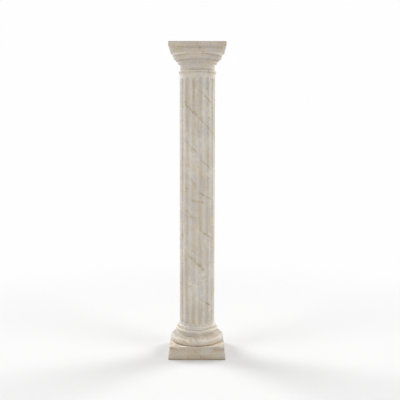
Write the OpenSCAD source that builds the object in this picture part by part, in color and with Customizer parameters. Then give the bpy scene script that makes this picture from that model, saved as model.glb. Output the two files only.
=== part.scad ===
// Doric column: square plinth, moulded base, fluted shaft and square-topped capital.
// Four carved stone pieces, each bedded flat on the one below and centred on one upright axis.
// The axis is Z, the underside of the plinth lies on z = 0, every size is in millimetres.
// Widths of the mouldings are given as projections beyond the face of the shaft,
// so a change of shaft diameter carries the whole column with it.

/* [Whole column] */
// Height from the floor to the top of the abacus
column_h = 3000; // [2600:10:3800]
// Diameter of the shaft over the bands between the flutes
shaft_d = 340; // [280:1:420]

/* [Plinth] */
// Height of the whole plinth
plinth_h = 124; // [100:1:170]
// Projection of the plinth's foot beyond the shaft face
plinth_out = 101.5; // [99:0.5:130]
// How far the upper band stands in from the foot
plinth_setback = 10; // [4:0.5:10]
// Height of the upright foot band
plinth_foot_h = 57; // [40:1:60]
// Height of the hollow between the foot band and the upper band
plinth_hollow_h = 34; // [20:1:36]

/* [Base] */
// Height of the large lower torus
lower_torus_h = 66; // [50:1:80]
// Projection of the lower torus
lower_torus_out = 90; // [84:0.5:91]
// Height of the fillet on the lower torus
lower_fillet_h = 6; // [4:0.5:10]
// Projection of the fillet on the lower torus
lower_fillet_out = 67; // [60:0.5:70]
// Height of the hollow scotia
scotia_h = 21; // [16:0.5:30]
// Projection of the scotia at its deepest
scotia_out = 21; // [16:0.5:24]
// Height of the fillet over the scotia
upper_fillet_h = 5; // [4:0.5:10]
// Projection of the fillet over the scotia
upper_fillet_out = 30; // [28:0.5:32]
// Height of the small upper torus
upper_torus_h = 42; // [32:1:54]
// Projection of the upper torus
upper_torus_out = 35; // [33:0.5:42]

/* [Shaft] */
// Height of the fillet at the foot of the shaft
foot_fillet_h = 18; // [12:0.5:24]
// Projection of the foot fillet
foot_fillet_out = 15; // [10:0.5:18]
// Number of flutes round the shaft
flute_count = 16; // [8:1:20]
// Width of each flute across its mouth
flute_w = 44; // [24:1:46]
// Depth of each flute below the shaft face
flute_depth = 10; // [6:0.5:14]
// Plain length between the foot hollow and the ends of the flutes
flute_foot_gap = 8; // [4:1:60]
// Plain length between the ends of the flutes and the hollow under the astragal
flute_top_gap = 24; // [4:1:60]
// Height of the hollow under the astragal
head_hollow_h = 16; // [10:0.5:24]
// Height of the fillet under the astragal
head_fillet_h = 7; // [4:0.5:12]
// Projection of the fillet under the astragal
head_fillet_out = 6; // [3:0.5:8]
// Height of the astragal bead
astragal_h = 24; // [18:0.5:30]
// Projection of the astragal bead
astragal_out = 13; // [11:0.5:16]

/* [Capital] */
// Height of the upright part of the necking
necking_h = 48; // [36:1:80]
// How far the necking stands in from the shaft face
necking_in = 3; // [0:0.5:6]
// Height and reach of the hollow that opens out of the necking
necking_hollow = 19; // [14:0.5:20]
// Height of the lower of the two annulet bands
annulet_low_h = 9; // [6:0.5:14]
// Height of the upper annulet band
annulet_high_h = 15; // [8:0.5:20]
// Projection of the upper annulet band beyond the shaft face
annulet_out = 19; // [18:0.5:24]
// Height of the echinus
echinus_h = 49; // [36:1:64]
// Projection of the echinus where it springs from the annulets
echinus_foot_out = 29; // [26:0.5:34]
// Projection of the echinus at its widest
echinus_out = 64; // [56:0.5:65]
// Swell of the echinus beyond the straight line between its ends
echinus_swell = 6; // [2:0.5:9]
// Height of the plain face of the abacus
abacus_face_h = 48; // [36:1:70]
// Projection of the plain face of the abacus beyond the shaft face
abacus_face_out = 66.5; // [66:0.5:80]
// Height of the ogee under the abacus crown
abacus_ogee_h = 18; // [12:0.5:26]
// Height of the crowning band of the abacus
abacus_crown_h = 37; // [24:0.5:50]
// Projection of the crowning band beyond the plain face
abacus_crown_out = 32; // [20:0.5:40]

/* [Hidden] */
$fn = 96;
arc_steps = 8;      // straight steps in each quarter round
blade_over = 10;    // length of every moulding blade beyond the block it shapes
stone = "#ded2bd";
stone_pale = "#e6dcc9";

shaft_r = shaft_d / 2;
base_h = lower_torus_h + lower_fillet_h + scotia_h + upper_fillet_h + upper_torus_h;
annulet_h = annulet_low_h + annulet_high_h;
abacus_h = abacus_face_h + abacus_ogee_h + abacus_crown_h;
capital_h = necking_h + necking_hollow + annulet_h + echinus_h + abacus_h;
shaft_h = column_h - plinth_h - base_h - capital_h;
base_z = plinth_h;
shaft_z = base_z + base_h;
capital_z = shaft_z + shaft_h;

// a flute is the sweep of a round gouge: chord = flute_w, depth = flute_depth
flute_sag = shaft_r - sqrt(pow(shaft_r, 2) - pow(flute_w / 2, 2));
flute_bite = flute_depth - flute_sag;
flute_r = (pow(flute_w / 2, 2) + pow(flute_bite, 2)) / (2 * flute_bite);
flute_axis_r = shaft_r - flute_depth + flute_r;
flute_end = sqrt(pow(flute_r, 2) - pow(flute_axis_r - shaft_r, 2));
flute_z0 = foot_fillet_h + foot_fillet_out + flute_foot_gap;
flute_z1 = shaft_h - astragal_h - head_fillet_h - head_hollow_h - flute_top_gap;

// elliptical arc about c, from angle a0 to a1
function arc(c, rx, rz, a0, a1) =
    [for (i = [0:arc_steps])
        let (a = a0 + (a1 - a0) * i / arc_steps)
        [c[0] + rx * cos(a), c[1] + rz * sin(a)]];

// line from p to q swelling outwards by s at its middle
function swelling(p, q, s) =
    let (l = norm(q - p), n = [q[1] - p[1], p[0] - q[0]] / l)
    [for (i = [0:arc_steps])
        let (t = i / arc_steps)
        p + (q - p) * t + n * 4 * s * t * (1 - t)];

// half outline closed on the axis, for turned work
function on_axis(half) =
    concat([[0, half[0][1]]], half, [[0, half[len(half) - 1][1]]]);

// half outline mirrored to the other side, for square work
function both_sides(half) =
    concat(half, [for (i = [len(half) - 1:-1:0]) [-half[i][0], half[i][1]]]);

// outline run round a square block, mitred at its four corners
module square_work(half, widest) {
    intersection() {
        rotate([90, 0, 0])
            linear_extrude(height = 2 * (widest + blade_over), center = true)
                polygon(both_sides(half));
        rotate([90, 0, 90])
            linear_extrude(height = 2 * (widest + blade_over), center = true)
                polygon(both_sides(half));
    }
}

module plinth() {
    foot = shaft_r + plinth_out;
    band = foot - plinth_setback;
    color(stone)
        square_work(concat(
            [[foot, 0]],
            arc([foot, plinth_foot_h + plinth_hollow_h],
                plinth_setback, plinth_hollow_h, 270, 180),
            [[band, plinth_h]]), foot);
}

module base() {
    lower_r = shaft_r + lower_torus_out;
    lower_tube = lower_torus_h / 2;
    lower_c = lower_r - lower_tube;
    lower_fillet_r = shaft_r + lower_fillet_out;
    scotia_r = shaft_r + scotia_out;
    upper_fillet_r = shaft_r + upper_fillet_out;
    upper_tube = upper_torus_h / 2;
    upper_c = shaft_r + foot_fillet_out;
    upper_reach = upper_torus_out - foot_fillet_out;
    scotia_z = lower_torus_h + lower_fillet_h;
    scotia_mid = scotia_z + scotia_h / 2;
    upper_z = scotia_z + scotia_h + upper_fillet_h;
    quirk = 60;     // angle below level at which the upper torus springs
    lip = 2;        // set-back of the scotia's top behind its fillet
    color(stone_pale)
        translate([0, 0, base_z])
            rotate_extrude()
                polygon(on_axis(concat(
                    arc([lower_c, lower_tube], lower_tube, lower_tube,
                        -90, acos((lower_fillet_r - lower_c) / lower_tube)),
                    [[lower_fillet_r, scotia_z]],
                    arc([lower_fillet_r, scotia_mid],
                        lower_fillet_r - scotia_r, scotia_h / 2, 269, 180),
                    arc([upper_fillet_r - lip, scotia_mid],
                        upper_fillet_r - lip - scotia_r, scotia_h / 2, 170, 90),
                    [[upper_fillet_r, scotia_z + scotia_h],
                     [upper_fillet_r, upper_z],
                     [upper_c + upper_reach * cos(quirk), upper_z]],
                    arc([upper_c, upper_z + upper_tube], upper_reach, upper_tube,
                        -quirk, 90))));
}

module shaft() {
    foot_r = shaft_r + foot_fillet_out;
    head_r = shaft_r + head_fillet_out;
    bead = astragal_h / 2;
    bead_c = shaft_r + astragal_out - bead;
    bead_z = shaft_h - bead;
    head_z = shaft_h - astragal_h - head_fillet_h;
    color(stone)
        translate([0, 0, shaft_z])
            difference() {
                rotate_extrude()
                    polygon(on_axis(concat(
                        [[foot_r, 0]],
                        arc([foot_r, foot_fillet_h + foot_fillet_out],
                            foot_fillet_out, foot_fillet_out, 270, 180),
                        arc([head_r, head_z - head_hollow_h],
                            head_fillet_out, head_hollow_h, 180, 90),
                        [[head_r, shaft_h - astragal_h]],
                        arc([bead_c, bead_z], bead, bead, -60, 90))));
                for (i = [0:flute_count - 1])
                    rotate([0, 0, 360 * (i + 0.5) / flute_count - 90])
                        translate([flute_axis_r, 0, 0])
                            flute_gouge();
            }
}

module flute_gouge() {
    rotate_extrude($fn = 48)
        polygon(concat(
            arc([0, flute_z0 + flute_end], flute_r, flute_r, -90, 0),
            arc([0, flute_z1 - flute_end], flute_r, flute_r, 0, 90)));
}

module capital() {
    neck_r = shaft_r - necking_in;
    annulet_r = shaft_r + annulet_out;
    low_r = neck_r + necking_hollow;
    annulet_z = necking_h + necking_hollow;
    echinus_z = annulet_z + annulet_h;
    abacus_z = echinus_z + echinus_h;
    face = shaft_r + abacus_face_out;
    crown = face + abacus_crown_out;
    ogee_z = abacus_face_h;
    half_ogee = abacus_ogee_h / 2;
    half_reach = abacus_crown_out / 2;
    color(stone_pale)
        translate([0, 0, capital_z]) {
            rotate_extrude()
                polygon(on_axis(concat(
                    [[neck_r, 0]],
                    arc([low_r, necking_h], necking_hollow, necking_hollow, 180, 90),
                    [[low_r, annulet_z + annulet_low_h],
                     [annulet_r, annulet_z + annulet_low_h],
                     [annulet_r, echinus_z]],
                    swelling([shaft_r + echinus_foot_out, echinus_z],
                             [shaft_r + echinus_out, abacus_z], echinus_swell))));
            translate([0, 0, abacus_z])
                square_work(concat(
                    [[face, 0]],
                    arc([face + half_reach, ogee_z], half_reach, half_ogee, 180, 90),
                    arc([face + half_reach, ogee_z + abacus_ogee_h],
                        half_reach, half_ogee, 280, 360),
                    [[crown, abacus_h]]), crown);
        }
}

plinth();
base();
shaft();
capital();
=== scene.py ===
import math

import bpy
import numpy as np
from mathutils import Matrix, Vector


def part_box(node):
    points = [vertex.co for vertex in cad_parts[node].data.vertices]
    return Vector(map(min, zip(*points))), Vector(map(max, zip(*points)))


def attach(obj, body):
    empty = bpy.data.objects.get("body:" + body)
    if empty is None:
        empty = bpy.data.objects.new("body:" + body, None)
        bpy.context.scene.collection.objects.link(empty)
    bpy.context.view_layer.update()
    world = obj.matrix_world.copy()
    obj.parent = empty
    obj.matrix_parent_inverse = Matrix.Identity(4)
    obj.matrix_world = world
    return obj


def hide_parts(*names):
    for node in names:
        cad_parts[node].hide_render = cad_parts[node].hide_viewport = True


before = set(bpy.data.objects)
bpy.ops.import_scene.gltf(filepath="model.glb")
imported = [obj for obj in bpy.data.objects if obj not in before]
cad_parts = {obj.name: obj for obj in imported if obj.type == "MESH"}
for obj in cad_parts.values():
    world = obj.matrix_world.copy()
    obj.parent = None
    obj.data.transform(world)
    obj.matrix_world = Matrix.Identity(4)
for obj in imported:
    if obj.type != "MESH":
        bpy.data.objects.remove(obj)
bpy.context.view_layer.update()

bl_info = {
    "name": "Doric column",
    "version": (1, 0, 0),
    "blender": (4, 5, 0),
    "location": "View3D > Sidebar > Column",
    "description": "Carved marble column: plinth, moulded base, fluted shaft and capital",
    "category": "Add Mesh",
}

MM = 0.001


def node_size(name):
    """Width along X, lowest and highest level of a carved piece, in metres."""
    low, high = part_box(name)
    return high[0] - low[0], low[2], high[2]


PLINTH_W, PLINTH_Z0, PLINTH_Z1 = node_size("plinth")
BASE_W, BASE_Z0, BASE_Z1 = node_size("base")
_, SHAFT_Z0, SHAFT_Z1 = node_size("shaft")
CAPITAL_W, CAPITAL_Z0, CAPITAL_Z1 = node_size("capital")


# ---------------- settings

def number(name, default, description, **more):
    """A number property, with any limits, unit and subtype."""
    return bpy.props.FloatProperty(name=name, description=description, default=default, **more)


def share(name, default, description):
    """A number property from 0 to 1."""
    return number(name, default, description, min=0.0, max=1.0)


def length(name, default, description):
    """A length property in metres, given in millimetres."""
    return number(name, default * MM, description, unit="LENGTH", subtype="DISTANCE", precision=4)


def angle(name, default, description):
    """An angle property, given in degrees."""
    return number(name, math.radians(default), description, unit="ROTATION", subtype="ANGLE")


def colour(name, default, description):
    """A linear colour property."""
    return bpy.props.FloatVectorProperty(
        name=name, description=description, default=default,
        size=3, min=0.0, max=1.0, subtype="COLOR")


class ColumnSizes(bpy.types.PropertyGroup):
    """Carved sizes of the column's mouldings."""
    shaft_radius: length("Shaft radius", 170, "Over the bands between the flutes")
    arris: length("Arris softening", 2.2, "How far back each sharp edge is eased")
    ripple: length("Hand finish", 0.25, "How far the dressed faces wander from true")
    plinth_setback: length("Plinth set-back", 10, "How far the upper band stands in from the foot")
    plinth_foot: length("Plinth foot height", 57, "Upright foot band")
    plinth_hollow: length("Plinth hollow height", 34, "Hollow above the foot band")
    lower_torus: length("Lower torus height", 66, "Large torus")
    lower_fillet: length("Lower fillet height", 6, "Fillet on the large torus")
    lower_fillet_out: length("Lower fillet projection", 67, "Beyond the shaft face")
    scotia: length("Scotia height", 21, "Hollow between the tori")
    scotia_out: length("Scotia projection", 21, "Beyond the shaft face, at its deepest")
    upper_fillet: length("Upper fillet height", 5, "Fillet over the scotia")
    upper_fillet_out: length("Upper fillet projection", 30, "Beyond the shaft face")
    upper_torus_out: length("Upper torus projection", 35, "Beyond the shaft face")
    foot_fillet: length("Foot fillet height", 18, "Fillet at the shaft's foot")
    foot_fillet_out: length("Foot fillet projection", 15, "Beyond the shaft face")
    flute_count: bpy.props.IntProperty(
        name="Flutes", description="Number of flutes round the shaft", default=16, min=8, max=20)
    flute_width: length("Flute width", 44, "Across the flute's mouth")
    flute_depth: length("Flute depth", 10, "Below the shaft face")
    flute_foot_gap: length("Plain foot", 8, "Plain length under the flutes")
    flute_top_gap: length("Plain head", 24, "Plain length over the flutes")
    head_hollow: length("Head hollow height", 16, "Hollow under the astragal")
    head_fillet: length("Head fillet height", 7, "Fillet under the astragal")
    head_fillet_out: length("Head fillet projection", 6, "Beyond the shaft face")
    astragal: length("Astragal height", 24, "Bead at the shaft's head")
    astragal_out: length("Astragal projection", 13, "Beyond the shaft face")
    necking: length("Necking height", 48, "Upright part of the necking")
    necking_in: length("Necking set-back", 3, "Behind the shaft face")
    necking_hollow: length("Necking hollow", 19, "Height and reach of the hollow over the necking")
    annulet_low: length("Lower annulet", 9, "Height of the lower annulet band")
    annulet_high: length("Upper annulet", 15, "Height of the upper annulet band")
    annulet_out: length("Annulet projection", 19, "Beyond the shaft face")
    echinus: length("Echinus height", 49, "Echinus")
    echinus_foot_out: length("Echinus spring", 29, "Projection where the echinus springs")
    echinus_out: length("Echinus projection", 64, "Projection at its widest")
    echinus_swell: length("Echinus swell", 6, "Beyond the straight line between its ends")
    abacus_face: length("Abacus face height", 48, "Plain face of the abacus")
    abacus_face_out: length("Abacus face projection", 66.5, "Beyond the shaft face")
    abacus_ogee: length("Abacus ogee height", 18, "Ogee under the crown")


class StoneLook(bpy.types.PropertyGroup):
    """Colours and veining of the marble."""
    shaft_tone: colour("Shaft stone", (0.742, 0.698, 0.622), "Pale ground of the shaft block")
    capital_tone: colour("Capital stone", (0.645, 0.577, 0.489), "Ground of the capital block")
    base_tone: colour("Base stone", (0.745, 0.675, 0.572), "Ground of the base block")
    plinth_tone: colour("Plinth stone", (0.618, 0.555, 0.458), "Ground of the plinth block")
    vein_tone: colour("Veins", (0.455, 0.305, 0.140), "Tan-brown of the veins")
    cloud_tone: colour("Clouds", (0.640, 0.612, 0.600), "Cool grey clouds in the ground")
    # Painted glow: a paler, warmer colour laid along some edges where light falls, as a painted highlight.
    glow_tone: colour("Worn stone", (0.880, 0.775, 0.650), "Paler stone where a top face is rubbed")
    # Painted shade: brown laid in the crevices, in the flutes and at the foot, where shade falls.
    shade_tone: colour("Grime", (0.340, 0.250, 0.135), "Brown that settles in the crevices")
    vein_first: length("First vein", 585, "Level at which the lowest vein crosses the front")
    vein_spacing: length("Vein spacing", 344, "Height from vein to vein")
    vein_slope: number("Vein slope", 0.92, "Fall of the veins for each step to the right")
    roughness: share("Roughness", 0.46, "Of the honed faces")


class StageLook(bpy.types.PropertyGroup):
    """Floor, light and camera."""
    floor_tone: share("Floor tone", 0.857, "Grey level of the pale floor as it is seen")
    floor_bounce: share("Floor bounce", 0.742, "Grey level of the floor as it lights the stone")
    front_lamp: number("Front lamps", 1.02, "Strength of each lamp before the column")
    back_lamp: number("Back lamps", 1.72, "Strength of each lamp behind the column")
    back_lean: share("Back lamps' lean", 0.09, "Share that the left one gains and the right one loses")
    top_lamp: number("Top lamp", 1.12, "Strength of the wide lamp overhead")
    lamp_width: angle("Lamp width", 33, "Front and back lamps, as seen from the column")
    top_width: angle("Top lamp width", 50, "As seen from the column")
    front_turn: angle("Front lamps' turn", 56, "From straight before the column")
    front_height: angle("Front lamps' height", 19, "Over the floor")
    back_turn: angle("Back lamps' turn", 127, "From straight before the column")
    back_height: angle("Back lamps' height", 30, "Over the floor")
    lens: number("Lens", 56.53, "Focal length on a 36 mm sensor", subtype="DISTANCE_CAMERA")
    camera_at: bpy.props.FloatVectorProperty(
        name="Camera place", description="Where the camera stands", size=3,
        default=(0.0271, -6.1332, 2.0163), unit="LENGTH", subtype="TRANSLATION")
    camera_dip: angle("Camera dip", 4.69, "How far the camera looks down")
    camera_roll: angle("Camera roll", 0.11, "How far the camera leans")


# ---------------- outlines

def arc(centre, reach, rise, start, stop, steps):
    """Elliptical arc about the centre, at an even run of angles from start to stop, in degrees."""
    turn = np.radians(np.linspace(start, stop, steps + 1))
    return np.stack([centre[0] + reach * np.cos(turn), centre[1] + rise * np.sin(turn)], 1)


def swelling(foot, head, swell, steps=16):
    """Line from foot to head, pushed out to its right by a parabola of this height."""
    foot, head = np.array(foot), np.array(head)
    t = np.linspace(0, 1, steps + 1)[:, None]
    along = (head - foot) / np.linalg.norm(head - foot)
    return foot + (head - foot) * t + np.array([along[1], -along[0]]) * 4 * swell * t * (1 - t)


def ease(points, amount, steps=5, least=20.0, most=0.4, guard=1.35, same=1e-7):
    """Replaces each corner sharper than `least` degrees with a parabola that it controls.

    The parabola runs from `amount` before the corner to `amount` after it, or `most` of a shorter side.
    One more point on each side, `guard` times as far from the corner, keeps the flats flat. Points
    closer than `same` are one."""
    apart = np.linalg.norm(np.diff(points, axis=0), axis=1) > same
    points = points[np.r_[True, apart]]
    corner = points[1:-1, None]
    sides = [points[:-2, None] - corner, points[2:, None] - corner]
    long = [np.linalg.norm(side, axis=-1, keepdims=True) for side in sides]
    back, on = [side / far for side, far in zip(sides, long)]
    cut_back, cut_on = [np.minimum(amount, most * far) for far in long]
    s = np.linspace(0, 1, steps)[None, :, None]
    start = corner + back * cut_back
    stop = corner + on * cut_on
    curve = (1 - s) ** 2 * start + 2 * s * (1 - s) * corner + s ** 2 * stop
    eased = np.concatenate(
        [corner + back * cut_back * guard, curve, corner + on * cut_on * guard], axis=1)
    turn = np.degrees(np.arccos(np.clip(-(back * on).sum(-1), -1, 1)))[:, 0]
    sharp = turn > least
    rows = np.where(sharp[:, None, None], eased, corner)
    wanted = np.zeros(rows.shape[:2], dtype=bool)
    wanted[:, 0] = True
    wanted[sharp] = True
    return np.concatenate([points[:1], rows[wanted], points[-1:]])


def fill(points, step):
    """Adds evenly spaced points so that no stretch of the outline is longer than `step`."""
    long = np.linalg.norm(np.diff(points, axis=0), axis=1)
    count = np.maximum(1, np.ceil(long / step).astype(int))
    first = np.repeat(np.arange(len(count)), count)
    place = np.arange(count.sum()) - np.repeat(np.cumsum(count) - count, count)
    t = (place / np.repeat(count, count))[:, None]
    return np.concatenate([points[first] * (1 - t) + points[first + 1] * t, points[-1:]])


def to_axis(outline, low, high):
    """Closes an outline with a point on the axis at its lowest and its highest level."""
    return np.concatenate([[[0, low]], outline, [[0, high]]])


# ---------------- meshes

def wander(points, depth, seed, count=7, slowest=8, fastest=40):
    """Gentle unevenness of dressed stone: the mean of `count` sine waves through space, times `depth`.

    Each wave runs its own way, at a rate of `slowest` to `fastest` radians to the metre."""
    rng = np.random.default_rng(seed)
    waves = rng.normal(size=(count, 3)) * rng.uniform(slowest, fastest, size=(count, 1))
    phase = rng.uniform(0, 2 * math.pi, size=count)
    return depth * np.sin(points @ waves.T + phase).sum(-1) / count


def dressed(grid, way, reach, depth, seed):
    """Grid with the hand finish: each point off the axis moves out along its way by the wander there."""
    return grid + way * (wander(grid, depth, seed) * (reach > 0))[..., None]


def round_grid(radius, turn, level, depth, seed):
    """Dressed points round the axis, by radius, turn and level."""
    x = radius * np.cos(turn)
    y = radius * np.sin(turn)
    way = np.stack([np.cos(turn), np.sin(turn), 0 * turn], -1)
    return dressed(np.stack([x, y, level + 0 * x], -1), way, radius, depth, seed)


def square_path(per_side, per_corner):
    """Path round a unit square with round corners, as two lists of (x, y).

    The first holds each point's corner of the square, or its place along a side, and the second the
    way that it faces."""
    side = np.linspace(-1, 1, per_side + 2)[1:-1]
    bend = np.radians(np.linspace(0, 90, per_corner + 1))
    corners, ways = [], []
    for quarter in range(4):
        tilt = math.radians(90 * quarter)
        spin = np.array([[math.cos(tilt), math.sin(tilt)], [-math.sin(tilt), math.cos(tilt)]])
        corners.append(np.stack([np.ones_like(side), side], 1) @ spin)
        ways.append(np.tile(np.array([[1.0, 0.0]]) @ spin, (per_side, 1)))
        corners.append(np.tile(np.array([[1.0, 1.0]]) @ spin, (per_corner + 1, 1)))
        ways.append(np.stack([np.cos(bend), np.sin(bend)], 1) @ spin)
    return np.concatenate(corners), np.concatenate(ways)


def square_grid(outline, arris, depth, seed, per_side=40, per_corner=6):
    """Dressed points of an outline of (half width, level) carried round a square with eased corners.

    With half width h and easing c, a point of the path lies at (h - c) times its corner plus c times its
    way. The easing is the arris, or half of a smaller half width."""
    corner, way = square_path(per_side, per_corner)
    half = outline[:, :1, None]
    easing = np.minimum(arris, half / 2)
    flat = (half - easing) * corner + easing * way
    level = np.repeat(outline[:, 1:], len(corner), axis=1)
    grid = np.concatenate([flat, level[..., None]], -1)
    way = np.concatenate([way, np.zeros((len(way), 1))], -1)
    return dressed(grid, way, outline[:, :1], depth, seed)


def closed_surface(name, grid):
    """Mesh from a grid of points [row, column, xyz], as one closed skin.

    Columns run anticlockwise and wrap round, rows rise, and the first and the last row are one point
    each, joined to the next row by a fan of triangles. Quads join the other rows."""
    rows, columns = grid.shape[:2]
    inner = grid[1:-1].reshape(-1, 3)
    verts = np.concatenate([inner, grid[0, :1], grid[-1, :1]])
    low, high = len(inner), len(inner) + 1
    here = np.arange(columns)
    after = (here + 1) % columns
    row = np.arange(rows - 3)[:, None] * columns
    quads = np.stack([row + here, row + after, row + columns + after, row + columns + here], -1)
    top = (rows - 3) * columns
    foot = np.stack([np.full(columns, low), after, here], -1)
    head = np.stack([np.full(columns, high), top + here, top + after], -1)
    loops = np.concatenate([quads.ravel(), foot.ravel(), head.ravel()])
    starts = np.concatenate([np.arange(quads.size // 4) * 4, quads.size + np.arange(2 * columns) * 3])
    mesh = bpy.data.meshes.new(name)
    mesh.vertices.add(len(verts))
    mesh.vertices.foreach_set("co", verts.astype(np.float32).ravel())
    mesh.loops.add(len(loops))
    mesh.loops.foreach_set("vertex_index", loops.astype(np.int32))
    mesh.polygons.add(len(starts))
    mesh.polygons.foreach_set("loop_start", starts.astype(np.int32))
    mesh.update(calc_edges=True)
    mesh.validate()
    mesh.shade_smooth()
    return mesh


# ---------------- shader maths

def operator_pair(operation):
    """The plain and the reflected form of an arithmetic operator, as methods that add a Math node."""
    def plain(self, other):
        return self.recipe.maths(operation, self, other)

    def reflected(self, other):
        return self.recipe.maths(operation, other, self)

    return plain, reflected


class Wire:
    """One node output, so that shader maths can be written as plain sums such as 1 - mask."""

    def __init__(self, recipe, socket):
        self.recipe = recipe
        self.socket = socket

    __add__, __radd__ = operator_pair("ADD")
    __sub__, __rsub__ = operator_pair("SUBTRACT")
    __mul__, __rmul__ = operator_pair("MULTIPLY")
    __truediv__, __rtruediv__ = operator_pair("DIVIDE")
    __pow__, __rpow__ = operator_pair("POWER")

    def __abs__(self):
        return self.recipe.maths("ABSOLUTE", self)

    def between(self, low, high, start=0.0, stop=1.0):
        """Smooth step: start below `low`, stop above `high`."""
        return self.recipe.node(
            "ShaderNodeMapRange", {"interpolation_type": "SMOOTHSTEP"},
            {"Value": self, "From Min": low, "From Max": high, "To Min": start, "To Max": stop})

    def near(self, level, inner, outer):
        """1 within `inner` of a level, falling smoothly to 0 at `outer` from it."""
        return 1 - abs(self - level).between(inner, outer)


class Recipe:
    """The nodes of one material or world."""

    def __init__(self, owner):
        owner.use_nodes = True
        self.tree = owner.node_tree
        self.tree.nodes.clear()

    def node(self, kind, settings=None, sockets=None, output=0):
        """Adds a node of this kind: first its settings, then its sockets' values or links."""
        made = self.tree.nodes.new(kind)
        for key, value in (settings or {}).items():
            setattr(made, key, value)
        for key, value in (sockets or {}).items():
            socket = made.inputs[key]
            if isinstance(value, Wire):
                self.tree.links.new(value.socket, socket)
            elif socket.type == "RGBA":
                socket.default_value = (*value, 1.0)
            else:
                socket.default_value = value
        return Wire(self, made.outputs[output]) if made.outputs else None

    def maths(self, operation, *values):
        """Adds a Math node."""
        return self.node("ShaderNodeMath", {"operation": operation}, dict(enumerate(values)))

    def place(self):
        """Object coordinates, in metres."""
        return self.node("ShaderNodeTexCoord", output="Object")

    def seen(self):
        """1 where the camera or a gloss looks straight at it, 0 where it only gives light."""
        return self.maths(
            "MAXIMUM", self.node("ShaderNodeLightPath", output="Is Camera Ray"),
            self.node("ShaderNodeLightPath", output="Is Glossy Ray"))

    def split(self, vector):
        """The three parts of a vector."""
        first = self.node("ShaderNodeSeparateXYZ", None, {0: vector})
        return [Wire(self, output) for output in first.socket.node.outputs]

    def shifted(self, vector, offset, scale=(1, 1, 1)):
        """A vector stretched and moved."""
        return self.node("ShaderNodeMapping", None, {"Vector": vector, "Location": offset, "Scale": scale})

    def noise(self, vector, scale, detail, roughness=0.5, distortion=0.0, offset=None):
        """Cloudy noise from 0 to 1 at `scale` bumps to the metre. An offset moves it aside."""
        if offset:
            vector = self.shifted(vector, offset)
        return self.node(
            "ShaderNodeTexNoise", None,
            {"Vector": vector, "Scale": scale, "Detail": detail, "Roughness": roughness,
             "Distortion": distortion})

    def blend(self, part, first, second):
        """Two colours mixed by the part of the second, through the node's colour sockets."""
        return self.node("ShaderNodeMix", {"data_type": "RGBA"}, {0: part, 6: first, 7: second}, 2)


# ---------------- marble

# Veins on the front, in metres: level at the middle, start, stop, fall to the right, reach, strength.
PLINTH_VEINS = (
    (0.070, -0.06, 0.08, 0.73, 0.012, 0.60), (0.092, -0.28, -0.19, 0.10, 0.020, 0.70),
    (0.085, 0.16, 0.28, -0.05, 0.020, 0.75))
BASE_VEINS = ((0.055, -0.13, -0.07, 0.90, 0.012, 0.80), (0.27, 0.02, 0.12, 0.35, 0.009, 0.60))
SHAFT_VEINS = (
    (2.58, 0.01, 0.15, 0.95, 0.010, 0.65), (2.315, -0.12, 0.15, 0.98, 0.013, 1.00),
    (1.97, -0.12, 0.01, 1.10, 0.016, 0.55), (1.93, 0.04, 0.12, 0.80, 0.010, 0.75),
    (1.655, -0.10, -0.01, 0.90, 0.020, 0.60), (1.605, 0.01, 0.16, 0.55, 0.012, 0.90),
    (1.515, -0.08, 0.10, 0.25, 0.010, 0.60), (1.325, -0.11, 0.00, 0.88, 0.022, 0.45),
    (1.26, 0.03, 0.15, 0.80, 0.011, 0.75), (1.00, -0.04, 0.03, 0.75, 0.008, 0.65),
    (0.915, -0.08, 0.08, 1.00, 0.018, 0.80), (0.64, -0.12, -0.06, 0.60, 0.012, 0.60),
    (0.59, 0.02, 0.16, 0.74, 0.008, 0.95), (0.30, -0.05, -0.01, 1.30, 0.007, 0.90))
CAPITAL_VEINS = ((2.975, 0.00, 0.06, 1.20, 0.011, 0.80), (2.915, 0.05, 0.15, 0.20, 0.010, 0.80))
# Upright stains on the front, in metres: place to the right, low, high, reach, strength.
SHAFT_RUNS = ((-0.036, 2.38, 2.68, 0.018, 0.55),)
CAPITAL_RUNS = ((0.106, 2.762, 2.868, 0.005, 0.75),)
# Painted shade at the foot, darker towards the floor: start and stop over it, in metres, and strength.
FOOT_SHADE = ((0.0, 0.045, 0.26), (0.004, 0.015, 0.80))
# Deep and pale clouds and the painted highlight on the bands, against the block's own tone.
DEEP, PALE, HIGHLIGHT_PALE = 0.90, 1.09, 1.12
# The parts of red, green and blue that the warm clouds keep, and the dark of the grain.
WARM_CAST = (0.99, 0.90, 0.74)
GRAIN_TONE = (0.10, 0.07, 0.04)
# Layers of the ground: how far each covers the stone under it.
CLOUDS, WARMTH, GRAIN = 0.60, 0.55, 0.11
# The bands between the flutes: how far they are painted pale as a highlight, and the painted shade in the
# flutes at their ends and along their middle.
BAND_HIGHLIGHT, END_FLUTE_SHADE, MIDDLE_FLUTE_SHADE = 0.18, 0.125, 0.035
# Layers of the marks, and the most that the marks and the painted shade cover.
LONG_VEINS, SHORT_VEINS, SPECKS = 1.02, 0.86, 0.80
MOST_MARKS, MOST_SHADE = 0.85, 0.9
# Where the placed veins of the front give way to the bedded ones, along Y, in metres.
FRONT_EDGE = (-0.10, -0.03)
# What the grain, the marks, the painted shade and an unhoned face add to the roughness.
ROUGH_GRAIN, ROUGH_MARKS, ROUGH_SHADE, ROUGH_SAWN = 0.12, 0.12, 0.55, 0.40


def toned(tone, factor):
    """A colour made paler or deeper."""
    return tuple(min(1.0, part * factor) for part in tone)


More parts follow.
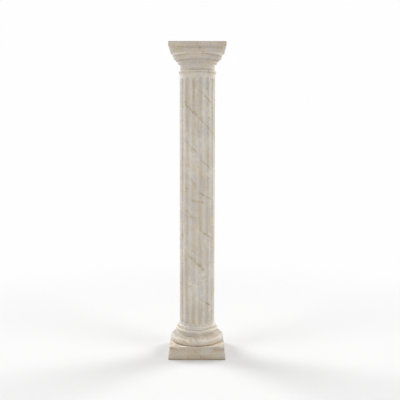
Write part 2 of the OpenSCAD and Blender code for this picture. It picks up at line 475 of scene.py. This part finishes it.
def tilted_beds(recipe, point, slope, spacing, first, bend=0.10, tilt=0.22, front=0.17):
    """Distance, in metres, to the nearest of a family of tilted beds.

    Beds lie one `spacing` apart in level, fall by `slope` for each step to the right and by `tilt` for each
    step to the back, and are bent by up to about half of `bend`. `first` is the level at which one of
    them crosses the front of the shaft, which stands `front` before the axis."""
    x, y, z = recipe.split(point)
    slow = recipe.noise(point, 3.0, 3) - 0.5
    quick = recipe.noise(point, 24.0, 3, 0.65) - 0.5
    bed = z + x * slope + y * tilt + slow * bend + quick * (bend * 0.36)
    # The count of beds stays above nothing, and each bed lies at one half.
    turn = (bed - (first - tilt * front)) / spacing + 20.5
    return abs(recipe.maths("FRACT", turn) - 0.5) * (spacing / math.sqrt(1 + slope * slope))


def bedded_veins(recipe, point, look, shift):
    """Strength of the long veins round the sides and back: a soft body with a thin broken core."""
    off = tilted_beds(recipe, point, look.vein_slope, look.vein_spacing, look.vein_first + shift)
    spread = recipe.noise(point, 8.0, 3, 0.6, offset=(3, 1, 2)).between(0.30, 0.72, 0.005, 0.022)
    body = (1 - (off / spread).between(0.1, 1.0)) * 0.55
    core = (1 - off.between(0.0010, 0.0045)) * 0.30
    gaps = recipe.noise(point, 6.0, 3, 0.6, offset=(7, 5, 1)).between(0.42, 0.56)
    return (body + core) * gaps


def placed_veins(recipe, point, veins, slow_bend=0.040, quick_bend=0.020, outside=0.015, inside=0.020):
    """Strength of the veins on the front, each as (level, start, stop, fall, reach, strength).

    A vein is a straight line that crosses the middle at its level and falls to the right, bent by two
    noises. Its strength fades over its reach, and at each end from `inside` to `outside` it."""
    x, _, z = recipe.split(point)
    slow = recipe.noise(point, 7.0, 3, 0.55) - 0.5
    quick = recipe.noise(point, 40.0, 3, 0.6) - 0.5
    bent = z + slow * slow_bend + quick * quick_bend
    swell = recipe.noise(point, 24.0, 2, offset=(4, 4, 1)).between(0.35, 0.65, 0.6, 1.8)
    total = 0.0
    for level, start, stop, fall, reach, strength in veins:
        off = abs(bent + x * fall - level) / (swell * math.sqrt(1 + fall * fall))
        body = (1 - off.between(0.0, reach)) * strength
        ends = x.between(start - outside, start + inside) * (1 - x.between(stop - inside, stop + outside))
        total = body * ends + total
    return total


def placed_runs(recipe, point, runs, bend=0.006, longest=0.04):
    """Strength of the upright stains on the front, each as (place, low, high, reach, strength).

    A stain is an upright line at its place to the right, bent by noise. It fades over its reach to
    each side, and at each end over a quarter of its height, or the `longest` fade."""
    x, _, z = recipe.split(point)
    bent = x + (recipe.noise(point, 30.0, 2) - 0.5) * bend
    total = 0.0
    for place, low, high, reach, strength in runs:
        fade = min(longest, (high - low) / 4)
        ends = z.between(low, low + fade) * (1 - z.between(high - fade, high))
        total = bent.near(place, 0.0, reach) * strength * ends + total
    return total


def short_veins(recipe, point, look, across=46.0, along=13.0, inward=20.0):
    """Strength of the short dashes between the long veins: noise drawn out along the veins' own fall.

    `across` the fall, `along` it and `inward` are the noise's bumps to the metre."""
    x, y, z = recipe.split(point)
    place = {0: (z + x * look.vein_slope) * across, 1: (x - z * look.vein_slope) * along, 2: y * inward}
    drawn = recipe.node("ShaderNodeCombineXYZ", None, place)
    dash = recipe.noise(drawn, 1.0, 4, 0.65, 0.3).between(0.54, 0.76)
    where = recipe.noise(point, 5.5, 2, offset=(1, 9, 4)).between(0.36, 0.56)
    return dash * where


def stone_marks(recipe, point, moved, look, shift, veins, runs):
    """Strength of all the tan marks: long veins broken into beads, short dashes and specks.

    On the front the long veins are the placed ones, and elsewhere they follow the tilted beds."""
    front = 1 - recipe.split(point)[1].between(*FRONT_EDGE)
    long = bedded_veins(recipe, point, look, shift) * (1 - front)
    long = long + placed_veins(recipe, point, veins) * front
    if runs:
        long = long + placed_runs(recipe, point, runs) * front
    speckle = recipe.noise(point, 70.0, 3, 0.7, offset=(5, 5, 5)).between(0.38, 0.62, 0.35, 1.10)
    beads = recipe.noise(point, 22.0, 3, 0.6, offset=(6, 2, 7)).between(0.38, 0.62, 0.20, 1.30)
    specks = recipe.noise(moved, 52.0, 4, 0.6, offset=(2, 2, 5)).between(0.58, 0.76)
    specks = specks * recipe.noise(moved, 6.0, 2).between(0.42, 0.60) * SPECKS
    marks = long * speckle * beads * LONG_VEINS + short_veins(recipe, moved, look) * SHORT_VEINS + specks
    return recipe.maths("MINIMUM", marks, MOST_MARKS)


def stone_ground(recipe, moved, tone, look, warm, grain):
    """Colour of the unmarked stone: pale and deep clouds, then cool grey ones, warm ones and the grain."""
    clouds = recipe.noise(moved, 5.0, 5, 0.6, 0.5).between(0.36, 0.66)
    patches = recipe.noise(moved, 13.0, 4, 0.62, 0.6, offset=(4, 2, 9)).between(0.44, 0.60)
    ground = recipe.blend(clouds, toned(tone, DEEP), toned(tone, PALE))
    ground = recipe.blend(patches * CLOUDS, ground, look.cloud_tone)
    ground = recipe.blend(warm * WARMTH, ground, tuple(part * cast for part, cast in zip(tone, WARM_CAST)))
    return recipe.blend(grain.between(0.40, 0.60) * GRAIN, ground, GRAIN_TONE)


def painted_flute_relief(recipe, point, ground, tone, look, radius, low, high):
    """Ground of the shaft with painted light: a painted highlight on the bands between the flutes, painted
    shade in the flutes.

    The stone is band to 0.5 mm within the radius, and flute from 6.5 mm within it. The painted shade is
    strongest at the flutes' ends, and thins over about half a metre from each."""
    x, y, z = recipe.split(point)
    raised = ((x * x + y * y) ** 0.5).between(radius - 6.5 * MM, radius - 0.5 * MM)
    middle = z.between(low + 0.05, low + 0.50) * (1 - z.between(high - 0.50, high - 0.12))
    # Painted shade in the flutes, strongest at their ends.
    flute_shade = (1 - raised) * (END_FLUTE_SHADE - middle * (END_FLUTE_SHADE - MIDDLE_FLUTE_SHADE))
    # Painted highlight: the bands between the flutes are painted paler.
    ground = recipe.blend(raised * BAND_HIGHLIGHT, ground, toned(tone, HIGHLIGHT_PALE))
    return recipe.blend(flute_shade, ground, look.shade_tone)


def painted_crevice_shade(recipe, moved, z, seams, foot):
    """Strength of the painted shade along the seams, broken up by noise, and at the foot, darker towards the
    floor.
    """
    shade_mask = 0.0
    # Painted shade along each seam.
    for level, reach, strength in seams:
        shade_mask = z.near(level, 0.0, reach) * strength + shade_mask
    if seams:
        shade_mask = shade_mask * recipe.noise(moved, 14.0, 3, 0.6).between(0.32, 0.68, 0.25, 1.0)
    if foot is not None:
        for start, stop, strength in FOOT_SHADE:
            shade_mask = (1 - (z - foot).between(start, stop)) * strength + shade_mask
    return recipe.maths("MINIMUM", shade_mask, MOST_SHADE)


def marble(name, tone, look, seed, veins, shift=0.0, seams=(), foot=None, streaks=0.0, runs=(),
           glow=None, sawn=None, bands=None):
    """Honed marble: beige and lavender-grey clouds, tan veins, brown specks, and brown painted shade in the
    crevices.

    `seed` moves the clouds from block to block, and `shift` moves the bedded veins up.
    `veins` and `runs` are the marks placed on the front.
    `seams` holds (level, reach, strength): painted shade, brown like grime, fades away from each level over
    its reach.
    `foot` is the level over which painted shade darkens the stone towards the floor, and `streaks` the
    strength of stains that run down.
    `glow` holds (level, reach) of stone painted paler and warmer as a painted highlight, and `sawn` the
    level of an unhoned top face.
    `bands` holds the radius of the bands between the flutes and the shaft's two ends."""
    material = bpy.data.materials.new(name)
    recipe = Recipe(material)
    point = recipe.place()
    moved = recipe.shifted(point, (seed * 1.7, seed * 0.9, seed * 0.31))
    z = recipe.split(point)[2]
    warm = recipe.noise(moved, 9.0, 5, 0.65, 0.4, offset=(1, 8, 3)).between(0.46, 0.64)
    grain = recipe.noise(moved, 90.0, 4, 0.7)
    stone = stone_ground(recipe, moved, tone, look, warm, grain)
    # Painted highlight on the bands and painted shade in the flutes.
    if bands is not None:
        stone = painted_flute_relief(recipe, point, stone, tone, look, *bands)
    marks = stone_marks(recipe, point, moved, look, shift, veins, runs)
    stone = recipe.blend(marks, stone, look.vein_tone)
    if streaks:
        drips = recipe.shifted(moved, (0, 0, 0), (26, 26, 2.4))
        drips = recipe.noise(drips, 1.0, 3, 0.55).between(0.50, 0.72)
        stone = recipe.blend(drips * streaks, stone, look.vein_tone)
    # Painted glow: stone near this level is painted paler and warmer, a painted highlight.
    if glow is not None:
        level, reach = glow
        pale = z.near(level, reach * 0.3, reach) * warm.between(-0.6, 1.0)
        stone = recipe.blend(pale, stone, look.glow_tone)
    # Painted shade, brown like grime, along the seams and at the foot.
    shade_mask = painted_crevice_shade(recipe, moved, z, seams, foot)
    stone = recipe.blend(shade_mask, stone, look.shade_tone)
    # The grain is one half on the average, so the honed stone keeps its own roughness.
    rough = grain * ROUGH_GRAIN + (look.roughness - ROUGH_GRAIN / 2)
    rough = rough + marks * ROUGH_MARKS + shade_mask * ROUGH_SHADE
    if sawn is not None:
        rough = rough + z.near(sawn, 0.5 * MM, 2 * MM) * ROUGH_SAWN
    height = grain * 0.30 + recipe.noise(moved, 24.0, 3) - marks * 0.5
    bump = recipe.node("ShaderNodeBump", None, {"Strength": 0.12, "Distance": 1.2 * MM, "Height": height})
    shader = recipe.node(
        "ShaderNodeBsdfPrincipled", None,
        {"Base Color": stone, "Roughness": rough, "IOR": 1.5, "Normal": bump})
    recipe.node("ShaderNodeOutputMaterial", None, {"Surface": shader})
    return material


# ---------------- pieces

# Where an outline begins or ends on a flat face, as a share of its reach from the axis: under the
# plinth, on a top face, under a round block and under the abacus.
BED_FROM, TOP_FROM, ROUND_FROM, SOFFIT_FROM = 0.5, 0.6, 0.9, 0.99
# Share of the arris by which the turned edges are eased: on the base, and on the shaft and capital.
BASE_ARRIS, FINE_ARRIS = 0.7, 0.6
# Longest stretch of the square outlines, in metres.
STRETCH = 0.05
# Angle at which the small torus and the astragal spring from the face under them, in degrees.
SPRING = -60


def add_object(name, data):
    """Puts an object with this data in the scene."""
    made = bpy.data.objects.new(name, data)
    bpy.context.scene.collection.objects.link(made)
    return made


def add_piece(name, node, grid, material):
    """Puts a finished surface in the scene as the looks of one carved piece."""
    piece = add_object(name, closed_surface(name, grid))
    piece.data.materials.append(material)
    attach(piece, "root")
    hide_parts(node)


class COLUMN_OT_plinth(bpy.types.Operator):
    """Square plinth with a hollow between its foot band and its upper band"""
    bl_idname = "column.plinth"
    bl_label = "Plinth"

    def execute(self, context):
        sizes, look = context.scene.column_sizes, context.scene.column_stone
        half = PLINTH_W / 2
        band = half - sizes.plinth_setback
        hollow_top = PLINTH_Z0 + sizes.plinth_foot + sizes.plinth_hollow
        outline = np.concatenate([
            [[half * BED_FROM, PLINTH_Z0], [half, PLINTH_Z0]],
            arc((half, hollow_top), sizes.plinth_setback, sizes.plinth_hollow, 270, 180, 14),
            [[band, PLINTH_Z1], [half * TOP_FROM, PLINTH_Z1]]])
        outline = to_axis(ease(fill(outline, STRETCH), sizes.arris), PLINTH_Z0, PLINTH_Z1)
        # Painted shade darkens the foot towards the floor, and a painted highlight runs along the top edge.
        material = marble(
            "Plinth marble", look.plinth_tone, look, seed=3.1, veins=PLINTH_VEINS, shift=0.12,
            foot=PLINTH_Z0, glow=(PLINTH_Z1, 0.004))
        grid = square_grid(outline, sizes.arris, sizes.ripple, seed=3)
        add_piece("plinth_stone", "plinth", grid, material)
        return {"FINISHED"}


class COLUMN_OT_base(bpy.types.Operator):
    """Round base: large torus, fillet, scotia, fillet and small torus"""
    bl_idname = "column.base"
    bl_label = "Base"

    def execute(self, context):
        sizes, look = context.scene.column_sizes, context.scene.column_stone
        r, z0 = sizes.shaft_radius, BASE_Z0
        tube = sizes.lower_torus / 2
        centre = BASE_W / 2 - tube
        fillet_r = r + sizes.lower_fillet_out
        scotia_r = r + sizes.scotia_out
        upper_r = r + sizes.upper_fillet_out
        scotia_z = z0 + sizes.lower_torus + sizes.lower_fillet
        middle = scotia_z + sizes.scotia / 2
        upper_z = scotia_z + sizes.scotia + sizes.upper_fillet
        small = (BASE_Z1 - upper_z) / 2
        small_c = r + sizes.foot_fillet_out
        reach = sizes.upper_torus_out - sizes.foot_fillet_out
        # The large torus ends where it meets the fillet's face, and both arcs of the scotia start a few
        # degrees on, so that no point lies twice.
        meet = math.degrees(math.acos((fillet_r - centre) / tube))
        lip = 2 * MM
        outline = np.concatenate([
            arc((centre, z0 + tube), tube, tube, -90, meet, 40),
            [[fillet_r, scotia_z]],
            arc((fillet_r, middle), fillet_r - scotia_r, sizes.scotia / 2, 268, 180, 16),
            arc((upper_r - lip, middle), upper_r - lip - scotia_r, sizes.scotia / 2, 172, 90, 8),
            [[upper_r, scotia_z + sizes.scotia], [upper_r, upper_z],
             [small_c + reach * math.cos(math.radians(SPRING)), upper_z]],
            arc((small_c, upper_z + small), reach, small, SPRING, 90, 28)])
        outline = to_axis(ease(outline, sizes.arris * BASE_ARRIS), z0, BASE_Z1)
        turn = np.linspace(0, 2 * math.pi, 256, endpoint=False)
        grid = round_grid(outline[:, :1], turn, outline[:, 1:], sizes.ripple, seed=5)
        # Painted shade in the scotia and at the top joint, and a painted glow round the foot.
        material = marble(
            "Base marble", look.base_tone, look, seed=5.3, veins=BASE_VEINS, shift=-0.05,
            seams=((scotia_z, 0.003, 0.12), (BASE_Z1, 0.004, 0.20)), glow=(BASE_Z0, 0.020))
        add_piece("base_stone", "base", grid, material)
        return {"FINISHED"}


def flute_columns():
    """Columns of one pitch, each as (share of the flute's half width, share of the band beside the flute).

    They crowd towards the arris from both sides so that its edge stays crisp. The band's far end is
    left out, as the next flute's first column is there."""
    inside = np.array([0, 0.25, 0.5, 0.7, 0.84, 0.93, 0.975, 1.0])
    beside = np.array([0.03, 0.08, 0.2, 0.5, 0.8, 0.92, 0.97])
    share_in = np.concatenate([-inside[:0:-1], inside, np.ones(len(beside))])
    share_out = np.concatenate([np.zeros(2 * len(inside) - 1), beside])
    return share_in, share_out


def flute_rows(outline, radius, low, high, end, ball_rows=19, below_rows=8, straight_rows=34, above_rows=14):
    """Levels of the shaft's rows and the plain body's radius at each, as two columns.

    The straight of a flute runs from `low` to `high`, and a ball end reaches `end` beyond each. Rows
    crowd there by the sine of an even run of angles; elsewhere they are even, or follow the outline
    as long as it keeps half a millimetre off the flutes."""
    ball = np.linspace(0, math.pi / 2, ball_rows)
    lower = low - end * np.sin(ball[::-1])
    upper = high + end * np.sin(ball)
    foot = outline[outline[:, 1] < lower[0] - 0.5 * MM]
    head = outline[outline[:, 1] > upper[-1] + 0.5 * MM]
    below = np.linspace(foot[-1, 1], lower[0], below_rows)[1:-1]
    straight = np.linspace(low, high, straight_rows)[1:-1]
    above = np.linspace(upper[-1], head[0, 1], above_rows)[1:-1]
    between = np.concatenate([below, lower, straight, upper, above])
    level = np.concatenate([foot[:, 1], between, head[:, 1]])
    body = np.concatenate([foot[:, 0], np.full(len(between), radius), head[:, 0]])
    return level[:, None], body[:, None]


def edge_width(past, end, least=0.14, back=0.9, spread=30 * MM):
    """Share of a flute's half width at which its edge columns stand, by the length past its straight.

    The mouth narrows as a circle does, to nothing at `end`. The columns keep at least the `least` share,
    and over the next `spread` they draw apart again: the root of the sum of the squares, with `back`
    times the square of a smooth step from 0 to 1."""
    mouth = np.sqrt(np.clip(1 - (past / end) ** 2, 0, None))
    step = np.clip((past - end) / spread, 0, 1)
    step = step * step * (3 - 2 * step)
    return np.minimum(np.sqrt(mouth ** 2 + least ** 2 + back * step ** 2), 1.0)


def fluted_grid(sizes, outline, soft=1.2 * MM, clear=4 * MM):
    """Shaft surface as a function of turn and level.

    The body radius follows the outline. Each flute is the near side of a round gouge with ball
    ends: radius = a cos(d) - sqrt(g^2 - a^2 sin^2(d)), where a is the gouge's distance from the
    axis, d the turn from the flute's middle, and g its radius, less towards the ball ends. The
    surface is the smaller of the two, rounded by `soft` over the arris, as far as `clear` beyond
    the flutes. Columns follow the flute's edge, so the arris lies along the grid."""
    r = sizes.shaft_radius
    half = sizes.flute_width / 2
    bite = sizes.flute_depth - (r - math.sqrt(r * r - half * half))
    gouge = (half * half + bite * bite) / (2 * bite)
    axis = r - sizes.flute_depth + gouge
    end = math.sqrt(gouge ** 2 - (axis - r) ** 2)
    low = SHAFT_Z0 + sizes.foot_fillet + sizes.foot_fillet_out + sizes.flute_foot_gap + end
    high = (SHAFT_Z1 - sizes.astragal - sizes.head_fillet - sizes.head_hollow
            - sizes.flute_top_gap - end)
    level, body = flute_rows(outline, r, low, high, end)
    past = np.maximum(low - level, level - high).clip(0)
    edge = math.asin(half / r) * edge_width(past, end)
    pitch = 2 * math.pi / sizes.flute_count
    share_in, share_out = flute_columns()
    off = edge * share_in + (pitch - 2 * edge) * share_out
    first = -math.pi / 2 + pitch / 2 + pitch * np.arange(sizes.flute_count)
    turn = (first[:, None] + off[:, None, :]).reshape(len(level), -1)
    off = np.where(off > pitch / 2, off - pitch, off)
    ball_r = np.sqrt(np.clip(gouge ** 2 - past ** 2, 0, None))
    inside = ball_r ** 2 - (axis * np.sin(off)) ** 2
    cut = np.where(inside > 0, axis * np.cos(off) - np.sqrt(np.clip(inside, 0, None)), axis)
    cut_share = np.clip(0.5 + 0.5 * (body - cut) / soft, 0, 1)
    carved = cut * cut_share + body * (1 - cut_share) - soft * cut_share * (1 - cut_share) * 0.5
    in_flutes = (level > low - end - clear) & (level < high + end + clear)
    radius = np.tile(np.where(in_flutes, carved, body), sizes.flute_count)
    return round_grid(radius, turn, level, sizes.ripple, seed=7)


class COLUMN_OT_shaft(bpy.types.Operator):
    """Fluted shaft with a foot fillet, round-ended flutes and an astragal at its head"""
    bl_idname = "column.shaft"
    bl_label = "Shaft"

    def execute(self, context):
        sizes, look = context.scene.column_sizes, context.scene.column_stone
        r = sizes.shaft_radius
        foot_r = r + sizes.foot_fillet_out
        head_r = r + sizes.head_fillet_out
        bead = sizes.astragal / 2
        bead_c = r + sizes.astragal_out - bead
        bead_z = SHAFT_Z1 - sizes.astragal
        head_z = bead_z - sizes.head_fillet
        outline = np.concatenate([
            [[foot_r * ROUND_FROM, SHAFT_Z0], [foot_r, SHAFT_Z0]],
            arc((foot_r, SHAFT_Z0 + sizes.foot_fillet + sizes.foot_fillet_out),
                sizes.foot_fillet_out, sizes.foot_fillet_out, 270, 180, 10),
            arc((head_r, head_z - sizes.head_hollow), sizes.head_fillet_out, sizes.head_hollow, 180, 90, 10),
            [[head_r, bead_z]],
            arc((bead_c, SHAFT_Z1 - bead), bead, bead, SPRING, 90, 20)])
        outline = to_axis(ease(outline, sizes.arris * FINE_ARRIS), SHAFT_Z0, SHAFT_Z1)
        # Painted shade at the foot joint, under the astragal and at the head; painted highlight on the
        # bands, painted shade in the flutes.
        material = marble(
            "Shaft marble", look.shaft_tone, look, seed=1.0, veins=SHAFT_VEINS,
            seams=((SHAFT_Z0, 0.005, 0.20), (bead_z, 0.012, 0.45), (SHAFT_Z1, 0.011, 0.75)),
            streaks=0.30, runs=SHAFT_RUNS, bands=(r, SHAFT_Z0, SHAFT_Z1))
        add_piece("shaft_stone", "shaft", fluted_grid(sizes, outline), material)
        return {"FINISHED"}


class COLUMN_OT_capital(bpy.types.Operator):
    """Capital: necking, annulets and echinus turned, with a square abacus, all one block"""
    bl_idname = "column.capital"
    bl_label = "Capital"

    def execute(self, context):
        sizes, look = context.scene.column_sizes, context.scene.column_stone
        r, z0 = sizes.shaft_radius, CAPITAL_Z0
        neck_r = r - sizes.necking_in
        hollow = sizes.necking_hollow
        step_z = z0 + sizes.necking + hollow + sizes.annulet_low
        echinus_z = step_z + sizes.annulet_high
        abacus_z = echinus_z + sizes.echinus
        annulet_r = r + sizes.annulet_out
        round_part = np.concatenate([
            [[neck_r * ROUND_FROM, z0], [neck_r, z0]],
            arc((neck_r + hollow, z0 + sizes.necking), hollow, hollow, 180, 90, 12),
            [[neck_r + hollow, step_z], [annulet_r, step_z], [annulet_r, echinus_z]],
            swelling((r + sizes.echinus_foot_out, echinus_z), (r + sizes.echinus_out, abacus_z),
                     sizes.echinus_swell)])
        round_part = ease(round_part, sizes.arris * FINE_ARRIS)
        face = r + sizes.abacus_face_out
        crown = CAPITAL_W / 2
        reach = (crown - face) / 2
        rise = sizes.abacus_ogee / 2
        ogee_z = abacus_z + sizes.abacus_face
        square_part = np.concatenate([
            [[face * SOFFIT_FROM, abacus_z], [face, abacus_z]],
            arc((face + reach, ogee_z), reach, rise, 180, 90, 10),
            arc((face + reach, ogee_z + 2 * rise), reach, rise, 280, 360, 10),
            [[crown, CAPITAL_Z1], [crown * TOP_FROM, CAPITAL_Z1]]])
        square_part = ease(fill(square_part, STRETCH), sizes.arris)
        square_part = np.concatenate([square_part, [[0, CAPITAL_Z1]]])
        round_part = np.concatenate([[[0, z0]], round_part])
        above = square_grid(square_part, sizes.arris, sizes.ripple, seed=11, per_side=60)
        # The round part takes its turns from the square part's columns, so that the two grids join.
        crown_row = above[-3]
        turn = np.arctan2(crown_row[:, 1], crown_row[:, 0])
        below = round_grid(round_part[:, :1], turn, round_part[:, 1:], sizes.ripple, seed=11)
        # Painted shade at the neck, over the annulets, under the abacus and at the crown's top edge; a
        # painted highlight along the abacus's foot.
        material = marble(
            "Capital marble", look.capital_tone, look, seed=8.4, veins=CAPITAL_VEINS, shift=0.10,
            seams=((z0, 0.010, 0.30), (echinus_z, 0.004, 0.50), (abacus_z - 0.005, 0.004, 0.35),
                   (step_z, 0.002, 0.20), (CAPITAL_Z1, 0.006, 0.60)),
            runs=CAPITAL_RUNS, glow=(abacus_z + 0.001, 0.004), sawn=CAPITAL_Z1)
        add_piece("capital_stone", "capital", np.concatenate([below, above]), material)
        return {"FINISHED"}


# ---------------- stage

WHITE = (1.0, 1.0, 1.0)
# Strength of the white past the floor, just short of full.
SEEN_WHITE = 0.99
# Half width of the floor, and where it fades into the white, in metres.
FLOOR_HALF = 60.0
FADE_START, FADE_STOP = 2.0, 5.5
# The camera's sensor, in millimetres, and how far it sees, in metres.
SENSOR_WIDTH, VIEW_LIMIT = 36.0, 200.0
# Height of the lamp overhead, which leans this little to the back.
OVERHEAD = math.radians(89)


def lay_floor(look):
    """Pale floor that keeps the column's shadow and fades into the white around it."""
    material = bpy.data.materials.new("Pale floor")
    recipe = Recipe(material)
    seen = recipe.seen()
    tone = seen * (look.floor_tone - look.floor_bounce) + look.floor_bounce
    pale = recipe.node("ShaderNodeBsdfDiffuse", None, {"Color": tone})
    white = recipe.node("ShaderNodeEmission", None, {"Color": WHITE, "Strength": SEEN_WHITE})
    reach = recipe.node("ShaderNodeVectorMath", {"operation": "LENGTH"}, {0: recipe.place()}, "Value")
    far = reach.between(FADE_START, FADE_STOP) * seen
    surface = recipe.node("ShaderNodeMixShader", None, {0: far, 1: pale, 2: white})
    recipe.node("ShaderNodeOutputMaterial", None, {"Surface": surface})
    mesh = bpy.data.meshes.new("floor")
    corners = [(x * FLOOR_HALF, y * FLOOR_HALF, 0) for x, y in ((-1, -1), (1, -1), (1, 1), (-1, 1))]
    mesh.from_pydata(corners, [], [(0, 1, 2, 3)])
    mesh.materials.append(material)
    floor = add_object("floor", mesh)


def paint_surroundings():
    """White surroundings that are seen but give the stone no light."""
    world = bpy.data.worlds.new("White surroundings")
    recipe = Recipe(world)
    strength = recipe.seen() * SEEN_WHITE
    white = recipe.node("ShaderNodeBackground", None, {"Color": WHITE, "Strength": strength})
    recipe.node("ShaderNodeOutputWorld", None, {"Surface": white})
    bpy.context.scene.world = world


def hang_lamps(look):
    """Soft lamps: a pair before the column, a stronger pair behind it, and a wide one overhead.

    Each is (turn from straight before the column, height over the floor, strength, width)."""
    pairs = ((look.front_turn, look.front_height, look.front_lamp, 0),
             (look.back_turn, look.back_height, look.back_lamp, look.back_lean))
    lamps = [(side * turn, height, strength * (1 - side * lean), look.lamp_width)
             for turn, height, strength, lean in pairs for side in (-1, 1)]
    lamps.append((math.pi, OVERHEAD, look.top_lamp, look.top_width))
    for turn, height, strength, width in lamps:
        data = bpy.data.lights.new("soft lamp", "SUN")
        data.energy = strength
        data.angle = width
        toward = Vector((math.sin(turn), -math.cos(turn), math.tan(height)))
        add_object("soft lamp", data).rotation_euler = toward.to_track_quat("Z", "Y").to_euler()


def set_camera(look):
    """Camera that looks along +Y, down by the dip and leaning by the roll."""
    data = bpy.data.cameras.new("camera")
    data.sensor_width = SENSOR_WIDTH
    data.lens = look.lens
    data.clip_end = VIEW_LIMIT
    ahead = Vector((0, math.cos(look.camera_dip), -math.sin(look.camera_dip)))
    up = Vector((0, math.sin(look.camera_dip), math.cos(look.camera_dip)))
    right = Vector((math.cos(look.camera_roll), 0, 0)) + up * math.sin(look.camera_roll)
    turn = Matrix((right, right.cross(ahead), -ahead)).transposed()
    camera = add_object("camera", data)
    camera.matrix_world = Matrix.Translation(Vector(look.camera_at)) @ turn.to_4x4()
    bpy.context.scene.camera = camera


class COLUMN_OT_stage(bpy.types.Operator):
    """Pale floor, white surroundings, soft lamps and the camera"""
    bl_idname = "column.stage"
    bl_label = "Stage"

    def execute(self, context):
        look = context.scene.column_stage
        lay_floor(look)
        paint_surroundings()
        hang_lamps(look)
        set_camera(look)
        context.scene.view_settings.view_transform = "Standard"
        return {"FINISHED"}


class COLUMN_PT_sidebar(bpy.types.Panel):
    """Column tools"""
    bl_label = "Doric column"
    bl_idname = "COLUMN_PT_sidebar"
    bl_space_type = "VIEW_3D"
    bl_region_type = "UI"
    bl_category = "Column"

    def draw(self, context):
        for operator in OPERATORS:
            self.layout.operator(operator.bl_idname)
        for group in GROUPS:
            box = self.layout.box()
            settings = getattr(context.scene, group)
            for key in settings.bl_rna.properties.keys():
                if key not in ("rna_type", "name"):
                    box.prop(settings, key)


GROUPS = {"column_sizes": ColumnSizes, "column_stone": StoneLook, "column_stage": StageLook}
OPERATORS = (COLUMN_OT_stage, COLUMN_OT_plinth, COLUMN_OT_base, COLUMN_OT_shaft, COLUMN_OT_capital)
CLASSES = (*GROUPS.values(), *OPERATORS, COLUMN_PT_sidebar)


def register():
    """Registers the classes and hangs the settings on the scene."""
    for member in CLASSES:
        bpy.utils.register_class(member)
    for name, group in GROUPS.items():
        setattr(bpy.types.Scene, name, bpy.props.PointerProperty(type=group))


def unregister():
    """Takes back what register did."""
    for name in GROUPS:
        delattr(bpy.types.Scene, name)
    for member in reversed(CLASSES):
        bpy.utils.unregister_class(member)


def main():
    """Makes the stage and every piece."""
    register()
    for operator in OPERATORS:
        getattr(bpy.ops.column, operator.bl_idname.removeprefix("column."))()


if __name__ == "__main__":
    main()
